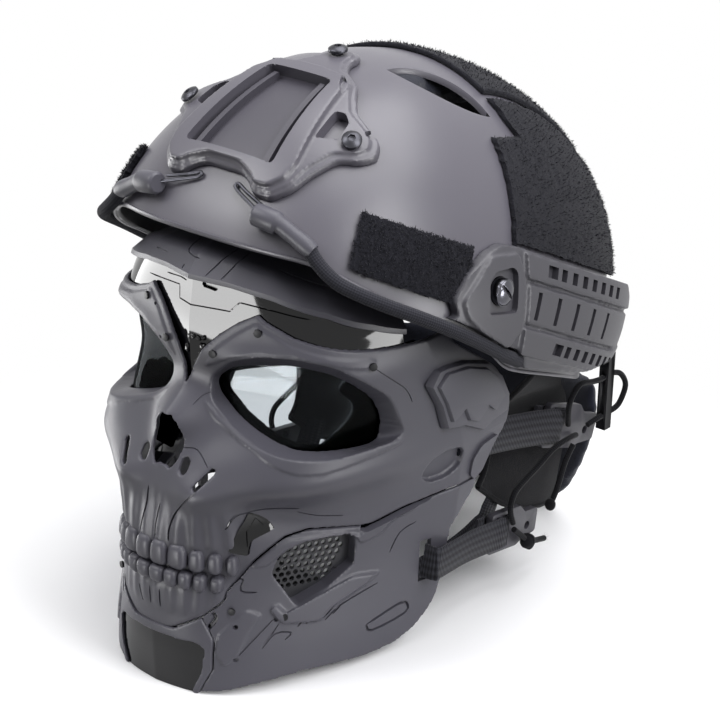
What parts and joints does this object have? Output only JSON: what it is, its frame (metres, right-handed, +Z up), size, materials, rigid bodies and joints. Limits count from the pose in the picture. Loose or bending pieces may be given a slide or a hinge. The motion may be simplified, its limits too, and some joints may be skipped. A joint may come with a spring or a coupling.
{
  "type": "airsoft helmet with skull face mask",
  "caption": "Hard-shell helmet with side rails and mount shroud, and a skull-shaped full-face mask with clear lenses laced under its brim.",
  "frame": {"origin": "on the table under the middle of the rig, which stands on the chin and the nape pad", "axes": "+X to the wearer's left, -Y to the front, +Z up"},
  "size_m": [0.239, 0.3302, 0.3066],
  "materials": {
    "shell_plastic": "satin dark grey moulding",
    "dark_metal": "blackened steel",
    "pile": "hook-and-loop pile",
    "webbing": "woven webbing and braided cord",
    "padding": "padded cloth",
    "black_plastic": "black moulding",
    "face_plastic": "matte dark grey moulding",
    "gloss_plastic": "polished black moulding",
    "lens": "clear lens"
  },
  "bodies": {
    "helmet": {"helmet_shell": "shell_plastic", "mount_shroud": "shell_plastic", "shroud_plate": "shell_plastic", "shroud_screws": "dark_metal", "rail_left": "shell_plastic", "rail_right": "shell_plastic", "rail_bolts": "dark_metal", "side_patch_left": "pile", "side_patch_right": "pile", "rear_patch_left": "pile", "rear_patch_right": "pile", "crown_patch": "pile", "bungee_left": "webbing", "bungee_right": "webbing", "crown_pad": "padding", "front_pad": "padding", "side_pad_left": "padding", "side_pad_right": "padding", "nape_cradle": "black_plastic", "nape_pad": "padding", "chin_strap_left": "webbing", "buckle_socket": "black_plastic", "strap_anchor_left": "black_plastic", "strap_anchor_right": "black_plastic"},
    "mask": {"skull_face": "face_plastic", "forehead_panel": "gloss_plastic", "brow_cap": "face_plastic", "chin_insert": "gloss_plastic", "cheek_guard_left": "face_plastic", "cheek_guard_right": "face_plastic", "cheek_mesh_left": "black_plastic", "cheek_mesh_right": "black_plastic", "cheek_insert_left": "gloss_plastic", "cheek_insert_right": "gloss_plastic", "temple_plate_left": "face_plastic", "temple_plate_right": "face_plastic", "lens_left": "lens", "lens_right": "lens", "face_foam": "padding", "mask_screws": "dark_metal", "upper_web_left": "webbing", "upper_web_right": "webbing", "lower_web_left": "webbing", "lower_web_right": "webbing", "upper_buckle_left": "shell_plastic", "upper_buckle_right": "shell_plastic", "lower_buckle_left": "shell_plastic", "lower_buckle_right": "shell_plastic", "lace_left": "webbing", "lace_right": "webbing"},
    "hook_l": {"bungee_hook_left": "dark_metal"},
    "hook_r": {"bungee_hook_right": "dark_metal"},
    "dial": {"dial_knob": "black_plastic"},
    "strap_r": {"chin_strap_right": "webbing", "buckle_plug": "black_plastic"}
  },
  "joints": [
    {"name": "mask_draw", "type": "slide", "parent": "helmet", "child": "mask", "axis": [0, -1, 0], "range_m": [0, 0.02], "stiffness_N_per_m": 150, "deforming": ["lace_left", "lace_right"]},
    {"name": "dial_turn", "type": "hinge", "parent": "helmet", "child": "dial", "pos_m": [0, 0.158, 0.056], "axis": [0, 1, 0], "continuous": true},
    {"name": "hook_turn_left", "type": "hinge", "parent": "helmet", "child": "hook_l", "pos_m": [0.06228, -0.12001, 0.24238], "axis": [0.3772, 0.708, 0.597], "range_deg": [0, 25]},
    {"name": "hook_turn_right", "type": "hinge", "parent": "helmet", "child": "hook_r", "pos_m": [-0.06228, -0.12001, 0.24238], "axis": [0.3772, -0.708, -0.597], "range_deg": [0, 25]},
    {"name": "chin_buckle", "type": "slide", "parent": "helmet", "child": "strap_r", "axis": [-1, 0, 0], "range_m": [0, 0.022], "deforming": ["chin_strap_right"]}
  ]
}
